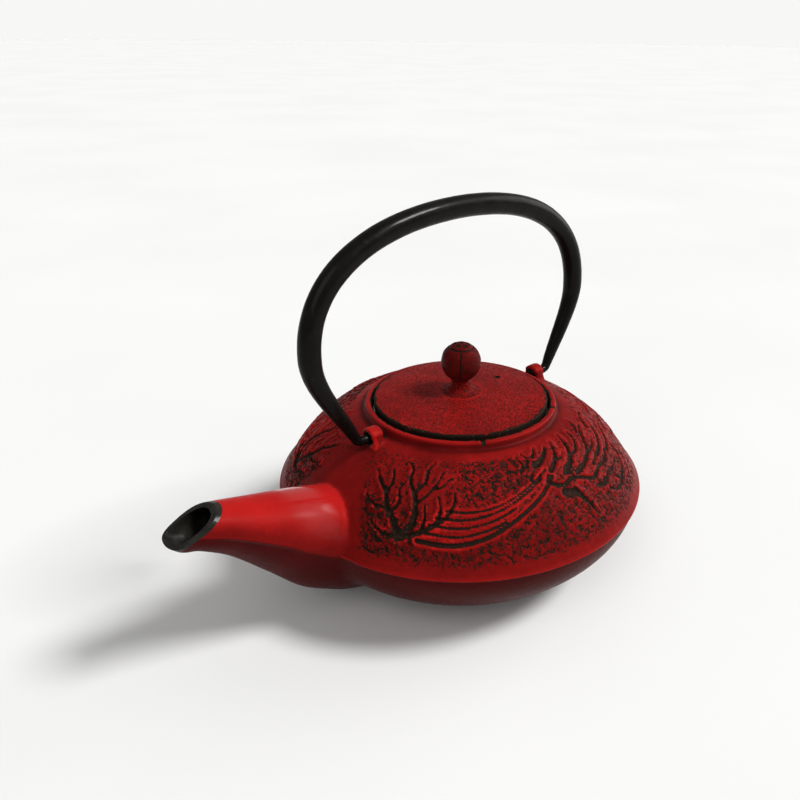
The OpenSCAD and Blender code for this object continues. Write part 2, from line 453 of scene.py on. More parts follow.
def lug(side):
    """One lug: a ring of rounded section whose outline grows into a foot below."""
    m = Mesh()
    edge_out, edge_in, half = 1.1, 0.5, LUG_T / 2
    hole = LUG_HOLE_R + edge_in
    rings = []
    for turn in circle(64):
        reach = lug_outline(turn)
        section = np.vstack([
            arc(reach - edge_out, half - edge_out, edge_out, 0, 90, 4),
            arc(hole, half - edge_in, edge_in, 90, 180, 3),
            arc(hole, edge_in - half, edge_in, 180, 270, 3),
            arc(reach - edge_out, edge_out - half, edge_out, 270, 360, 4),
        ])
        r, x = section[:, 0], section[:, 1] + LUG_X + half
        rings.append(np.c_[side * x, r * math.cos(turn), PIVOT_Z + r * math.sin(turn)])
    ids = m.skin(rings)
    m.bridge(ids[-1], ids[0])
    return m.object("lug")


def soften(ob, region, reach, rounds):
    """Round the inner corner along a joint: points near it slide towards their neighbours."""
    bm = bmesh.new()
    bm.from_mesh(ob.data)
    seam = set()
    for e in bm.edges:
        if len(e.link_faces) == 2 and region(e.verts[0].co / MM):
            if e.calc_face_angle_signed(0) < -0.3:
                seam.update(v.index for v in e.verts)
    pairs = np.array([[v.index for v in e.verts] for e in bm.edges])
    bm.free()
    points = coords(ob)
    tree = kdtree.KDTree(len(seam))
    for i in seam:
        tree.insert(points[i], i)
    tree.balance()
    weight = np.zeros(len(points))
    for i, p in enumerate(points):
        if region(p):
            weight[i] = 1 - smooth(tree.find(p)[2], 0.35 * reach, reach)
    pairs = pairs[(weight[pairs] > 0).any(1)]
    both = np.vstack([pairs, pairs[:, ::-1]])
    degree = np.maximum(1, np.bincount(both[:, 0], minlength=len(points)))[:, None]
    for _ in range(rounds):
        total = np.stack([np.bincount(both[:, 0], points[both[:, 1], k], len(points)) for k in range(3)], 1)
        points = points + 0.6 * weight[:, None] * (total / degree - points)
    set_coords(ob, points)


def near_spout(p):
    return p[0] < -55 and abs(p[1]) < 27 and math.hypot(p[0], p[1]) < 96


def near_lug(p):
    return abs(p[1]) < 13 and 40 < abs(p[0]) < 56 and p[2] > 63 and math.hypot(p[0], p[1]) > COLLAR_R - 0.1


def weld(ob, gap):
    """Join points closer than gap, and drop edges and faces with no size."""
    bm = bmesh.new()
    bm.from_mesh(ob.data)
    bmesh.ops.remove_doubles(bm, verts=bm.verts, dist=gap * MM)
    bmesh.ops.dissolve_degenerate(bm, edges=bm.edges, dist=gap * MM / 4)
    bm.to_mesh(ob.data)
    bm.free()


def casting():
    body = vessel()
    combine(body, channel(), "DIFFERENCE")
    tube = spout_tube()
    combine(tube, cavity(), "DIFFERENCE")
    combine(body, tube, "UNION")
    for side in (1, -1):
        combine(body, lug(side), "UNION")
    weld(body, 0.06)
    soften(body, near_spout, 3.6, 16)
    soften(body, near_lug, 2.6, 16)
    shade_smooth(body.data)
    return body


# ---- the relief on the dome

# Strokes as (half width at the start, half width at the end, points); a point is an azimuth
# in degrees and a radius, on the -Y side. The +Y side carries their mirror image.
SPRIGS = [
    # a bough that rises beside the spout, with its twigs
    (1.5, 0.9, [(-151, 75), (-153.5, 71.5), (-157, 68), (-159.5, 64)]),
    (0.9, 0.3, [(-159.5, 64), (-163.5, 61), (-167, 57.5)]),
    (0.8, 0.3, [(-159.5, 64), (-158.5, 60.5), (-160, 56.5)]),
    (0.8, 0.3, [(-156.5, 68.3), (-161.5, 68.6), (-166, 66.5)]),
    (0.8, 0.3, [(-155.5, 69.5), (-153.5, 66), (-154.8, 62), (-153.5, 59)]),
    # a second one from the same root
    (1.4, 0.9, [(-151, 75), (-147.5, 71), (-147.5, 67), (-149, 62.5)]),
    (0.8, 0.3, [(-149, 62.5), (-152, 58.5), (-152.5, 54), (-155, 51.5)]),
    (0.8, 0.3, [(-149, 62.5), (-146, 58), (-146, 53.5), (-144, 50)]),
    (0.7, 0.3, [(-148, 66), (-144.5, 63), (-141.5, 58.5), (-139.5, 53.5)]),
    (0.6, 0.3, [(-142.8, 60.5), (-139.5, 59.5), (-136.5, 56.5)]),
    # a third, low, towards the stream
    (1.3, 0.5, [(-151, 75), (-145, 73.2), (-140, 70.8), (-135.5, 67.5)]),
    (0.8, 0.3, [(-144.5, 73), (-143.8, 69.5), (-144.5, 66)]),
    (0.8, 0.3, [(-140.5, 71), (-139, 67.5), (-139.8, 63.5)]),
    (0.7, 0.3, [(-136.5, 68), (-134.5, 64.5), (-134.5, 61)]),
    (0.9, 0.4, [(-151, 75), (-156, 74.8), (-160.5, 73)]),
]
# Grooves that run side by side, the lowest one wider
STREAM = [
    (0.55, 0.5, [(-137, 67), (-128, 67.2), (-118, 65.6), (-106, 61.5), (-97, 58)]),
    (0.6, 0.5, [(-140, 69), (-131, 69.3), (-121, 67.8), (-110, 64.2), (-101, 60.5)]),
    (0.6, 0.5, [(-142, 71), (-132, 71.4), (-122, 69.9), (-114, 67.4)]),
    (0.6, 0.5, [(-143, 73), (-133, 73.5), (-124, 72.1), (-118, 70.6)]),
    (1.0, 0.8, [(-145, 75), (-135, 75.5), (-125, 74), (-114, 70.2), (-104, 65.8), (-96, 61)]),
]
FLAMES = [
    # short dashes above the end of the stream
    (0.6, 0.3, [(-107, 56), (-105, 53), (-107, 50)]),
    (0.5, 0.3, [(-104, 55), (-102, 52), (-103, 49)]),
    (0.7, 0.4, [(-105, 60), (-103, 58)]),
    (0.7, 0.4, [(-102, 61), (-100, 59)]),
    (0.7, 0.4, [(-99, 62), (-97, 60)]),
    # tongues of a flame, from where the stream ends
    (1.6, 0.4, [(-100, 55), (-96, 54), (-92, 52), (-89, 49.5)]),
    (1.2, 0.3, [(-95, 59), (-90, 56.5), (-86, 52.5), (-84, 48.5)]),
    (0.7, 0.3, [(-90, 56), (-86, 56.3), (-83, 54.8)]),
    (1.6, 0.3, [(-88, 61), (-82, 58.5), (-78, 53.5), (-76, 48)]),
    (0.9, 0.3, [(-80, 57.5), (-75, 57), (-71, 54), (-69, 49.5)]),
    (1.3, 0.4, [(-84, 63.5), (-77, 62.5), (-70, 60), (-63, 55), (-57, 53)]),
    (0.8, 0.3, [(-71, 61), (-65, 60.8), (-60, 58.8)]),
    # a long wave under them, and ripples
    (1.0, 0.8, [(-98, 63), (-93, 65), (-88, 64.2), (-83, 66),
                (-78, 68), (-72, 66.6), (-66, 67.2), (-60, 65.5)]),
    (0.8, 0.3, [(-90, 61.8), (-86.5, 62.6), (-83, 61.5)]),
    (0.9, 0.3, [(-79, 70.4), (-74, 71.2), (-68, 70), (-63, 70.8), (-57, 69)]),
    (1.1, 0.3, [(-68, 64), (-61, 63), (-54, 60), (-49, 56.5)]),
    (1.1, 0.3, [(-59, 66.5), (-53, 65.4), (-47, 62.5), (-43, 62)]),
    # short licks between them
    (0.8, 0.3, [(-99, 51.5), (-96.5, 50), (-95, 48)]),
    (0.9, 0.3, [(-64, 53.5), (-60, 50.5), (-59, 47.5)]),
    (0.9, 0.3, [(-55, 56.5), (-50, 53.5), (-44, 53)]),
    (0.7, 0.3, [(-74, 64.8), (-70, 64), (-67, 62.4)]),
    # a drop below them
    (1.7, 1.1, [(-94, 67), (-91, 68), (-88, 70)]),
    (1.6, 0.4, [(-90, 68), (-87, 72), (-85, 76)]),
    # a long curl at the far end
    (1, 0.8, [(-53, 68), (-54, 71), (-58, 74), (-62, 75)]),
    (1.2, 0.4, [(-60, 74), (-66, 75.5), (-71, 75), (-74, 73)]),
    (0.6, 0.4, [(-64, 75), (-67, 72.5), (-66, 71)]),
    (0.6, 0.4, [(-50, 72), (-54, 76), (-60, 78)]),
    # the far side of the flourish, over the other lug
    (0.9, 0.4, [(-44, 66), (-38, 64), (-30, 65), (-24, 62)]),
    (0.9, 0.4, [(-40, 70), (-33, 71), (-26, 69), (-20, 70)]),
    (0.7, 0.4, [(-36, 59), (-29, 58), (-22, 59), (-15, 57)]),
    (0.9, 0.4, [(-27, 75), (-20, 76), (-14, 74), (-11, 71)]),
]

STROKE_DEPTH, GROOVE_DEPTH, PIT_DEPTH = 0.75, 0.5, 0.42
BANK_RISE, RIB_RISE, UNEVEN = 0.45, 0.4, 0.07
NOTCHES = (-120, -55)  # small casting flaws in the collar's rim, as azimuths
NOTCH_W, NOTCH_DEPTH = 1.1, 0.6


def dome_z(r):
    return np.interp(r, DOME[:, 0], DOME[:, 1])


def on_dome(points):
    """Azimuth and radius to a point of the dome in the part of it at -Y."""
    a, r = np.radians(points[:, 0]), points[:, 1]
    return np.c_[r * np.cos(a), r * np.sin(a), dome_z(r)]


def stroke_gap(points, strokes):
    """Distance from each point to the edge of the nearest stroke, less than 0 inside."""
    gap = np.full(len(points), 9.0)
    for start, end, path in strokes:
        spine = on_dome(spline(path, 12))
        n = len(spine)
        half = start + (end - start) * np.linspace(0, 1, n)
        low, high = spine.min(0) - 5, spine.max(0) + 5
        inside = np.flatnonzero(((points > low) & (points < high)).all(1))
        if len(inside):
            d = np.linalg.norm(points[inside][:, None] - spine[None], axis=2) - half
            gap[inside] = np.minimum(gap[inside], d.min(1))
    return gap


def outer_dome(points):
    """The indices of the points on the dome's outer face."""
    r = np.hypot(points[:, 0], points[:, 1])
    near = np.abs(points[:, 2] - dome_z(r)) < 0.25
    return np.flatnonzero((r > COLLAR_R + 1.8) & (r < RIDGE_R - 1) & near)


def off_dome(r, z):
    """True for a point that stands out of the dome, such as one on the spout."""
    return (r > RIDGE_R + 0.3) | (z > dome_z(r) + 0.6)


def ground(p, r):
    """The part between the strokes, how pitted the ground is, and where there is relief at all."""
    turn = np.abs(np.degrees(np.arctan2(p[:, 1], p[:, 0])))
    between = smooth(turn, 95, 108) * (1 - smooth(turn, 126, 140)) * (1 - smooth(r, 63, 69))
    low = smooth(r, 66, 70) * smooth(turn, 20, 60) * (1 - smooth(turn, 168, 176))
    beside = smooth(turn, 152, 160) * smooth(r, 62, 68)
    share = np.clip(0.42 + 0.62 * between + 0.44 * low + 0.3 * beside, 0, 1.1)
    by_spout = smooth(np.abs(p[:, 0]) - np.abs(p[:, 1]) * 0.9, 49, 57) * (p[:, 0] < 0)
    clear = smooth(r, 46.5, 51) * (1 - smooth(r, 79, 81.5)) * (1 - by_spout)
    return between, share, clear


def dome_normals(p, r):
    along_r = np.interp(r, DOME[:, 0], -DOME_HEADING[:, 1])
    up = np.interp(r, DOME[:, 0], DOME_HEADING[:, 0])
    return np.c_[p[:, 0] / r * along_r, p[:, 1] / r * along_r, up]


def relief(ob):
    """Sink the strokes, raise the metal beside them, pit the ground, and give the paint's numbers, with its
    painted light and shade.
    """
    points = coords(ob)
    idx = outer_dome(points)
    p = points[idx]
    r = np.hypot(p[:, 0], p[:, 1])
    folded = p * [1, 0, 1] - np.abs(p) * [0, 1, 0]  # both sides laid on the -Y side
    wobble = 0.22 * noises(p, 2.2, 3.1)
    gap = stroke_gap(folded, SPRIGS + FLAMES) + wobble
    ribs = stroke_gap(folded, STREAM) + 0.5 * wobble
    sunk = 1 - smooth(gap, -0.5, 0.35)
    groove = 1 - smooth(ribs, -0.5, 0.6)
    bank = (1 - smooth(gap, 0.5, 2.6)) * (1 - sunk)
    rib_bank = (1 - smooth(ribs, 0.4, 1.6)) * (1 - groove)

    between, share, clear = ground(p, r)
    coarse, fine = noises(p, 1.7, 7.7), noises(p, 0.9, 1.3)
    level = 0.46 - 0.4 * share
    pit = smooth(coarse * 0.6 + fine * 0.75, level, level + 0.17)
    pit = pit * clear * (1 - sunk) * smooth(ribs, 0.5, 1.7)
    height = -STROKE_DEPTH * sunk - GROOVE_DEPTH * groove + BANK_RISE * bank + RIB_RISE * rib_bank
    height = height * (clear > 0) - PIT_DEPTH * pit + UNEVEN * coarse * clear
    points[idx] += dome_normals(p, r) * height[:, None]

    dark, pitted, highlight_and_tone = np.zeros((3, len(points)))
    dark[idx] = np.clip(np.maximum(sunk, 0.86 * groove) + 0.76 * pit, 0, 1)
    pitted[idx] = np.clip(clear * share, 0, 1) * smooth(ribs, 0.2, 1.4)
    # Painted highlight on the raised banks and ribs, and a lighter red on the ground between the strokes.
    highlight_and_tone[idx] = bank + 3.2 * rib_bank + 1.5 * between
    dark = lug_iron_and_shade(points, wear_collar(points, dark))
    set_coords(ob, points)
    clean, gloss = painted_light_and_gloss(points, highlight_and_tone)
    set_numbers(ob, dark=dark, pitted=pitted, clean=clean, gloss=gloss)


def wear_collar(points, dark):
    """A ragged dark line round the inside of the rim, and the notches, which lower some points."""
    x, y, z = points.T
    r = np.hypot(x, y)
    rim = (r < COLLAR_IN_R + 1.1) & (z > COLLAR_Z - 1.5)
    ragged = 0.6 * noises(points[rim], 2.5, 8.1)
    dark[rim] = np.clip(1.25 - smooth(r[rim], COLLAR_IN_R + 0.2, COLLAR_IN_R + 0.9) + ragged, 0, 1)
    for a in np.radians(NOTCHES):
        across, out = x * math.sin(a) - y * math.cos(a), x * math.cos(a) + y * math.sin(a)
        notch = bell(across / NOTCH_W) * (z > COLLAR_Z - 1.3) * (out > 20)
        points[:, 2] -= NOTCH_DEPTH * notch
        dark = np.maximum(dark, np.clip(1.3 * notch - 0.15, 0, 1))
    return dark


def lug_iron_and_shade(points, dark):
    """Dark in the lugs' holes and round them on the outer faces, partly bare iron and partly painted shade.
    """
    x, y, z = np.abs(points[:, 0]), points[:, 1], points[:, 2]
    face = LUG_X + LUG_T
    axis_gap = np.hypot(y, z - PIVOT_Z)
    outer_face = smooth(x, face - 1.6, face - 0.3) * (x < face + 1)
    # Painted shade together with bare iron: a dark ring round each hole on the outer face, and dark in the
    # hole.
    ring = (1 - smooth(axis_gap + 0.3 * np.sin(3 * y + z), 2.9, 3.7)) * outer_face
    hole = (axis_gap < LUG_HOLE_R + 0.4) * (x > LUG_X - 1.8) * (x < face + 1.4)
    return np.maximum(dark, np.maximum(ring, hole))


def painted_light_and_gloss(points, highlight_and_tone):
    """How light the red is, and how glossy. The lightness is mostly painted light and shade: painted shade
    on the bowl below the ridge, on the spout's underside and round the collar's foot; painted highlights
    along the ridge, on the collar's top and along the spout's crease; the spout's upper side and the raised
    edges lighter, as where light falls. The ground between the strokes is a lighter red.
    """
    x, y, z = points.T
    r = np.hypot(x, y)
    top, _, _, parting = spout_at(x)
    up = z - parting
    on_dome = (x > -50) | ~off_dome(r, z)
    # Painted shade: the bowl below the ridge gets the darkest red, and the spout a dark red that stays on
    # its underside.
    clean = np.where(on_dome, 0.38 * smooth(z, RIDGE_Z - 0.6, RIDGE_Z + 0.4), 0.06)
    # Painted highlight: a thin light line along the ridge.
    clean += 0.4 * bell((z - RIDGE_Z) / 0.5) * (r > RIDGE_R - 1.2) * on_dome
    # Painted shade: a darker band round the foot of the collar.
    clean -= 0.2 * bell((r - COLLAR_R - 1.2) / 1.5) * (z > 70) * (z < 73.6)
    # Painted highlight: a lighter red on the collar's top and on whatever stands as high.
    clean += 0.16 * smooth(z, COLLAR_Z - 1.2, COLLAR_Z - 0.5)
    spout, share = (x < -50) * off_dome(r, z), up / (top - parting)
    # Painted light on the spout: lighter towards its top, where light falls, with a painted highlight along
    # the crease.
    tone = 0.33 + 0.48 * smooth(share, 0.2, 1.0) + 0.12 * bell(up / 0.7)
    clean = np.maximum(clean, spout * smooth(up, -0.3, 0.3) * tone)
    gloss = smooth(r, 76, 83) * (1 - smooth(r, 88, 97)) * spout * smooth(share, 0.3, 0.6)
    # Painted highlight on raised banks and ribs, and a lighter red between the strokes, from the banks
    # number.
    return np.clip(clean + 0.08 * highlight_and_tone, 0, 1), gloss


def enamel(ob):
    """1 where the black enamel lies: on the lip, in the spout and inside the vessel."""
    points = coords(ob)
    x, y, z = points.T
    r = np.hypot(x, y)
    below = (mouth_z(x) - z) * math.cos(MOUTH_SLOPE)
    top, under, half, parting = spout_at(x)
    wall = spout_wall(x)
    up = np.where(z > parting, top - parting, parting - under)
    depth = 1 - np.hypot(y / half, (z - parting) / np.maximum(up, 1))
    reach = 1.3 + 0.3 * noises(points, 3, 5.5) + 3.5 * smooth(-x, 133, 138)
    lip = 1 - smooth(below - reach, -0.15, 0.15)
    in_spout = smooth(depth * half, 0.55 * wall, 0.75 * wall) * (r > 60)
    on_top = (x < -100) * np.maximum(lip, in_spout)
    inner = (r < COLLAR_IN_R + 0.2) & (z < COLLAR_Z - 0.9) & (z > FOOT_H + 1)
    inner |= (r < RIDGE_R - WALL * 0.55) & (z > FOOT_H + WALL * 0.6) & in_hollow(r, z)
    set_numbers(ob, enamel=np.clip(on_top + inner + (x < -60) * in_spout, 0, 1))


def in_hollow(r, z):
    """True where a point is on the hollow's side of the middle of the wall."""
    low = inset(bez(BOWL_CURVE, 60), WALL * 0.6)
    high = inset(bez(DOME_CURVE[::-1], 60), -WALL * 0.6)
    return (z > np.interp(r, low[:, 0], low[:, 1])) & (z < np.interp(r, high[:, 0], high[:, 1]))


def pot():
    ob = casting()
    relief(ob)
    enamel(ob)
    return ob


# ---- lid and knob

LID_R, LID_SEAT_Z, LID_EDGE_Z, LID_TOP_Z, LID_UNDER_Z = 38.6, 71.5, 76.6, 78.8, 74.4
RIM_IN_R, SKIRT_R, SKIRT_T, SKIRT_Z = 34.6, 32.4, 2.4, 64.0
SHANK_HOLE_R, VENT_R, VENT_X = 2.05, 1.0, 23.0
KNOB_R, KNOB_Z = 8.86, 92.3
DOTS_DOWN = 0.36  # radians from the knob's top to its ring of dots


def lid_profile():
    """Round the lid from its bore: across the top, down the edge, under the rim and the skirt."""
    edge, top, under, inner = LID_EDGE_Z, LID_TOP_Z, LID_UNDER_Z, SKIRT_R - SKIRT_T
    crown = bez([(LID_R - 0.9, edge + 0.05), (30, top - 0.9), (15, top), (0, top)], 200)
    crown = crown[crown[:, 0] > SHANK_HOLE_R + 0.3][::-1]
    return [
        [(SHANK_HOLE_R, under), (SHANK_HOLE_R, top)],
        resample(crown, 0.7),
        arc(LID_R - 0.8, edge - 0.75, 0.8, 75, 0, 4),
        resample([(LID_R, edge - 1.2), (LID_R, LID_SEAT_Z + 0.4)], 0.8),
        [(LID_R - 0.4, LID_SEAT_Z), (RIM_IN_R + 0.3, LID_SEAT_Z), (RIM_IN_R, LID_SEAT_Z + 0.3)],
        [(RIM_IN_R, under - 0.4), (RIM_IN_R - 0.4, under), (SKIRT_R + 0.4, under)],
        resample([(SKIRT_R, under - 0.5), (SKIRT_R, SKIRT_Z + 0.8)], 1.6),
        arc(SKIRT_R - 0.8, SKIRT_Z + 0.8, 0.8, 0, -90, 3),
        arc(inner + 0.8, SKIRT_Z + 0.8, 0.8, -90, -180, 3),
        resample([(inner, SKIRT_Z + 1.2), (inner, under - 0.8)], 1.6),
        [(inner - 0.8, under), (20, under), (8, under), (4, under)],
    ]


def lid():
    ob = lathe("lid_casting", lid_profile(), 300)
    drill = Mesh()
    tube = drill.revolve([(VENT_R, LID_UNDER_Z - 1), (VENT_R, LID_TOP_Z + 1)], 32)
    drill.cap(tube[0], (0, 0, LID_UNDER_Z - 1))
    drill.cap(tube[1], (0, 0, LID_TOP_Z + 1))
    bore = drill.object("vent")
    set_coords(bore, coords(bore) + [VENT_X, 0, 0])
    combine(ob, bore, "DIFFERENCE")
    age_lid(ob)
    return ob


def age_lid(ob):
    """Uneven cast metal, with the paint rubbed off along the lid's edge."""
    points = coords(ob)
    r = np.hypot(points[:, 0], points[:, 1])
    top = smooth(points[:, 2], LID_EDGE_Z - 1.5, LID_EDGE_Z - 0.3) * smooth(r, 8, 12)
    edge = smooth(r + 0.5 * noises(points, 3, 4.1), LID_R - 1.2, LID_R - 0.5) * (points[:, 2] > LID_SEAT_Z)
    swell = noises(points, 9, 2.2)
    small = noises(points, 2.2, 9.4)
    away = 1 - smooth(np.hypot(points[:, 0] - VENT_X, points[:, 1]), 1.2, 1.9)
    points[:, 2] += top * (1 - away) * (0.1 * swell + 0.07 * small - 0.05)
    shrink = 1 - edge * 0.004 * smooth(small, 0.1, 0.5)
    points[:, :2] *= shrink[:, None]
    set_coords(ob, points)
    dark = np.clip(edge * (0.75 + 0.5 * small) + away * 1.2, 0, 1)
    under = smooth(LID_UNDER_Z - points[:, 2], -2.0, -1.8)
    pitted = np.clip(top * (0.55 + 0.12 * swell) + 0.2, 0, 1) * (1 - under)
    coat = under * (r < LID_R - 0.2)
    set_numbers(ob, dark=dark, pitted=pitted, enamel=coat, clean=0.55 + 0.1 * swell)


def knob_profile():
    """The flared foot, the neck and the ball, from the bore outward and over the top."""
    start = math.degrees(math.asin(3.6 / KNOB_R))
    ball = arc(0, KNOB_Z, KNOB_R, -90 + start, 89, 64)
    low, top = ball[0][1], LID_TOP_Z
    foot = [(SHANK_HOLE_R, KNOB_Z - 3), (SHANK_HOLE_R, top - 0.2), (9.0, top - 0.25)]
    flare = bez([(9.2, top - 0.14), (7.0, top + 0.1), (5.0, top + 0.7), (4.1, low - 0.9)], 18)
    return np.vstack([foot, flare, [(3.75, low - 0.5)], ball])


def knob():
    m = Mesh()
    profile = knob_profile()
    rings = m.revolve(profile, 180)
    m.cap(rings[-1], (0, 0, KNOB_Z + KNOB_R))
    m.cap(rings[0], (0, 0, KNOB_Z - 3))
    ob = m.object("knob_casting")
    carve_knob(ob)
    return ob


def carve_knob(ob):
    """A ring round the crown, six dots inside it, and seams down the sides."""
    points = coords(ob)
    x, y, z = points.T
    out = points - [0, 0, KNOB_Z]
    size = np.linalg.norm(out, axis=1)
    ball = (np.abs(size - KNOB_R) < 0.1) & (z > KNOB_Z - KNOB_R + 1.5)
    down = np.degrees(np.arccos(np.clip(out[:, 2] / np.maximum(size, 1), -1, 1)))
    turn = np.degrees(np.arctan2(y, x))
    ring = bell((down - 38) / 3.4)
    dots = 1 - smooth(np.hypot(x, y), 0.8, 1.2)
    for a in np.radians(60 * np.arange(6) + 15):
        at = spot(KNOB_R * math.sin(DOTS_DOWN), a, KNOB_R * math.cos(DOTS_DOWN))
        dots = np.maximum(dots, 1 - smooth(np.linalg.norm(out - at, axis=1), 0.85, 1.4))
    dots *= down < 60
    seam = np.zeros(len(points))
    for turned in (45, 135, 225, 315):
        away = np.radians((turn - turned + 180) % 360 - 180) * np.hypot(x, y)
        seam = np.maximum(seam, bell((away + 0.12 * np.sin(down / 9)) / 0.4))
    seam *= smooth(down, 42, 48) * (1 - smooth(down, 125, 140))
    lumps = 0.1 * noises(points, 3.0, 4.4)
    depth = (-0.4 * ring - 0.35 * dots - 0.4 * seam + lumps - 0.1) * ball
    set_coords(ob, points + out / np.maximum(size, 1)[:, None] * depth[:, None])
    dark = np.clip(0.95 * ring + dots + 0.95 * seam, 0, 1) * ball
    clean = 0.42 - 0.2 * smooth(z, KNOB_Z - KNOB_R + 0.3, KNOB_Z - KNOB_R + 2.5)
    set_numbers(ob, dark=dark, pitted=0.6 * ball + 0.9 * (1 - ball), clean=clean)


# ---- bail

BAIL_LEAN, ROD_R, BEND_R, HOOK_R, HOOK_TIP_X = math.radians(2), 4.46, 2.2, 1.95, 45.5
ROD_SIDES = 40
ARCH = [(0, 157.5), (45.3, 157.5), (74, 142), (74, 112.2)]
ARM = [(74, 112.2), (74, 101), (65, 90), (57.5, 75.2)]
BEND = [(57.5, 75.2), (56.4, PIVOT_Z), (55, PIVOT_Z), (52.6, PIVOT_Z)]


def half_bail():
    """Centreline and radius from the top of the arch to the hook's tip, as x, z, radius."""
    t = np.linspace(0, 1, 33)
    arch, arm, bend = bez(ARCH, 48), bez(ARM, 32), bez(BEND, 14)
    arm_r = BEND_R + (ROD_R - BEND_R) * (1 - t) ** 0.7
    bend_r = np.linspace(BEND_R, HOOK_R, 15)
    pin = np.array([(50.5, PIVOT_Z), (48, PIVOT_Z), (HOOK_TIP_X + 0.7, PIVOT_Z)])
    return np.vstack([
        np.c_[arch, np.full(49, ROD_R)][:-1],
        np.c_[arm, arm_r][:-1],
        np.c_[bend, bend_r],
        np.c_[pin, np.full(3, HOOK_R)],
        [(HOOK_TIP_X + 0.25, PIVOT_Z, 1.7), (HOOK_TIP_X + 0.05, PIVOT_Z, 1.2)],
    ])


def bail():
    half = half_bail()
    path = np.vstack([half[:0:-1] * [-1, 1, 1], half])
    heading = headings(path[:, :2])
    turns = circle(ROD_SIDES)
    m = Mesh()
    rings = []
    for (x, z, r), (hx, hz) in zip(path, heading):
        across, side = r * np.cos(turns), r * np.sin(turns)
        rings.append(np.c_[x - hz * across, side, z + hx * across])
    ids = m.skin(rings)
    m.cap(ids[0], rings[0].mean(0) - [-0.05, 0, 0])
    m.cap(ids[-1], rings[-1].mean(0) - [0.05, 0, 0])
    ob = m.object("bail_rod")
    points = coords(ob)
    middle = np.repeat(path[:, :2], ROD_SIDES, 0)
    middle = np.vstack([middle, points[-2:, [0, 2]]])
    spoke = points - np.c_[middle[:, 0], np.zeros(len(points)), middle[:, 1]]
    radius = np.append(np.repeat(path[:, 2], ROD_SIDES), [1, 1])
    uneven = 0.018 * noises(points, 16, 6.6) + 0.008 * noises(points, 4, 1.9) - 0.012
    points = points + spoke * (uneven * smooth(radius, 2.0, 3.2))[:, None]
    y, z = points[:, 1].copy(), points[:, 2] - PIVOT_Z
    points[:, 1] = y * math.cos(BAIL_LEAN) + z * math.sin(BAIL_LEAN)
    points[:, 2] = PIVOT_Z - y * math.sin(BAIL_LEAN) + z * math.cos(BAIL_LEAN)
    set_coords(ob, points)
    return ob


# ---- infuser

MESH_R, MESH_T, BASKET_Z, BAND_T = 33.6, 0.5, 28.0, 0.6
WALL_TOP_Z, BAND_TOP_Z, LIP_IN_R = 69.0, 33.0, 30.5
FLANGE_R, FLANGE_TOP_Z, NECK_T, NECK_LOW_Z = 39.2, 71.5, 0.8, 64.0
HOLE_R, FLOOR_R = 0.66, 33.0


def strainer_rim():
    """The flange with a rolled outer edge, and the neck that clasps the mesh."""
    high, t = FLANGE_TOP_Z, FLANGE_TOP_Z - LEDGE_Z
    neck = MESH_R + NECK_T
    return lathe("infuser_rim", [
        [(MESH_R + 0.02, NECK_LOW_Z), (neck - 0.25, NECK_LOW_Z), (neck, NECK_LOW_Z + 0.25)],
        [(neck, 66.2), (neck - 0.25, 66.6), (neck - 0.25, 67.4), (neck, 67.8)],
        [(neck, LEDGE_Z - 0.5), (neck + 0.4, LEDGE_Z)],
        arc(FLANGE_R - t / 2, LEDGE_Z + t / 2, t / 2, -90, 90, 6),
        [(36.2, high), (35.9, high - 0.15), (35.4, high - 0.15), (35.1, high)],
        [(MESH_R + 0.5, high), (MESH_R + 0.15, high - 0.15), (MESH_R + 0.02, high - 0.5)],
    ], 240)


def strainer_band():
    """The folded strip that joins the mesh wall to the mesh floor."""
    low, high = BASKET_Z, BAND_TOP_Z
    outer = MESH_R + BAND_T
    return lathe("infuser_band", [
        [(LIP_IN_R, low + BAND_T - 0.1), (LIP_IN_R, low + 0.1), (LIP_IN_R + 0.1, low), (outer - 0.6, low)],
        arc(outer - 0.6, low + 0.6, 0.6, -80, 0, 4),
        [(outer, high - 1.2), (outer - 0.2, high - 0.8), (outer, high - 0.4), (outer - 0.15, high)],
        [(MESH_R + 0.02, high), (MESH_R + 0.02, low + BAND_T), (LIP_IN_R + 0.1, low + BAND_T)],
    ], 240)


def perforated(m, columns, rows, plain, place, share):
    """A closed sheet, wound round once, of square cells that have a hole except near both edges.

    place(u, v, side) gives a point in mm; share is the hole's radius as a part of a cell.
    """
    compass = [(1, 0), (1, 1), (0, 1), (-1, 1), (-1, 0), (-1, -1), (0, -1), (1, -1)]
    made = {}

    def point(u, v, side):
        key = (u % (2 * columns), v, side)
        if key not in made:
            made[key] = m.add([place(u / 2, v / 2, side)])[0]
        return made[key]

    for i in range(columns):
        for j in range(rows):
            around = [[point(2 * i + du, 2 * j + dv, side) for du, dv in compass] for side in (0, 1)]
            if plain <= j < rows - plain:
                octagon = [(i + share * math.cos(a), j + share * math.sin(a)) for a in circle(8)]
                hole = [m.add([place(u, v, side) for u, v in octagon]) for side in (0, 1)]
                m.bridge(around[0], hole[0])
                m.bridge(around[1], hole[1])
                m.bridge(*hole)
            else:
                m.faces += [tuple(around[0]), tuple(around[1])]
    for v in (-1, 2 * rows - 1):
        m.bridge(*[[made[(k, v, side)] for k in range(2 * columns)] for side in (0, 1)])


def mesh_wall():
    """The basket's perforated wall, plain near its top and bottom edges."""
    columns, rows, low = 100, 20, BASKET_Z + BAND_T
    pitch = (WALL_TOP_Z - low) / rows

    def place(u, v, side):
        r, a = MESH_R - 0.02 - MESH_T * side, 2 * math.pi * u / columns
        return spot(r, a, low + pitch * (v + 0.5))

    m = Mesh()
    perforated(m, columns, rows, 3, place, HOLE_R / pitch)
    return m.object("infuser_wall")


